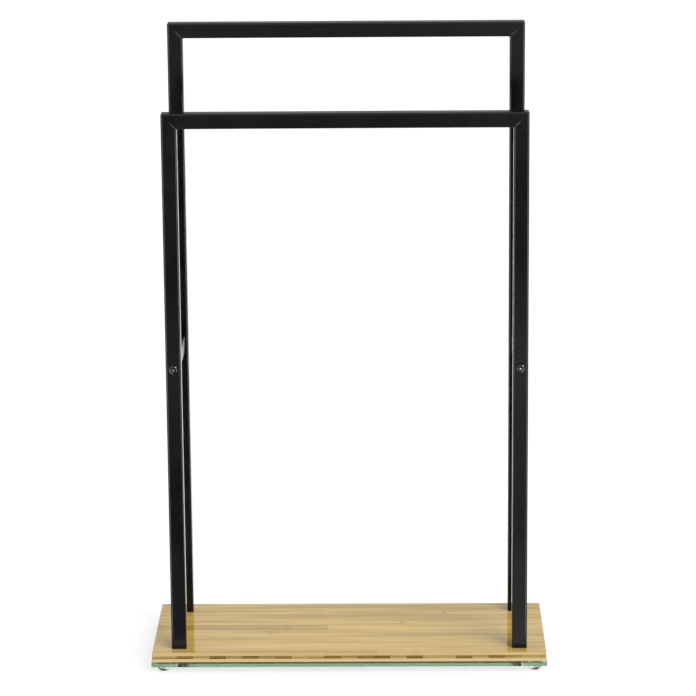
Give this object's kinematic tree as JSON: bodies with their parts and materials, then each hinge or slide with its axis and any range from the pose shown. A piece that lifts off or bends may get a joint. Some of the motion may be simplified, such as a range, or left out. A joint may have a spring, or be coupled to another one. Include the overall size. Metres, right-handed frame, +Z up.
{
  "type": "towel stand",
  "caption": "Freestanding towel stand with two black square-tube portal frames of different heights on a bamboo board over a glass plate with clear bumpers.",
  "frame": {"origin": "centre of the footprint on the floor, below the middle of the glass plate", "axes": "+Z up, -Y the front, where the lower frame stands, +X to the right of a viewer in front"},
  "size_m": [0.5, 0.2, 0.8033],
  "materials": {
    "black_powder_coat": "semi-gloss black powder coat on steel tube",
    "black_screw": "black oxide button-head screws",
    "zinc_steel": "zinc-plated steel",
    "bamboo_face": "clear-lacquered bamboo, grain along the width",
    "bamboo_core_dark": "bamboo core strips, darker end grain",
    "bamboo_core_light": "bamboo core strips, lighter end grain",
    "base_glass": "clear float glass with a ground green edge",
    "clear_bumper": "clear soft polyurethane",
    "soft_grommet": "matte black rubber"
  },
  "bodies": {
    "root": {"front_left_leg": "black_powder_coat", "front_right_leg": "black_powder_coat", "front_towel_bar": "black_powder_coat", "rear_left_leg": "black_powder_coat", "rear_right_leg": "black_powder_coat", "rear_towel_bar": "black_powder_coat", "left_spacer": "black_powder_coat", "left_spacer_inserts": "zinc_steel", "right_spacer": "black_powder_coat", "right_spacer_inserts": "zinc_steel", "front_side_screws": "black_screw", "front_left_foot_plug": "zinc_steel", "front_left_bumper": "clear_bumper", "front_right_foot_plug": "zinc_steel", "front_right_bumper": "clear_bumper", "rear_side_screws": "black_screw", "rear_left_foot_plug": "zinc_steel", "rear_left_bumper": "clear_bumper", "rear_right_foot_plug": "zinc_steel", "rear_right_bumper": "clear_bumper", "base_bolts": "zinc_steel", "base_washers": "zinc_steel", "glass_grommets": "soft_grommet", "board_top_ply": "bamboo_face", "board_core_dark_strips": "bamboo_core_dark", "board_core_light_strips": "bamboo_core_light", "board_bottom_ply": "bamboo_face", "glass_plate": "base_glass"}
  },
  "joints": []
}
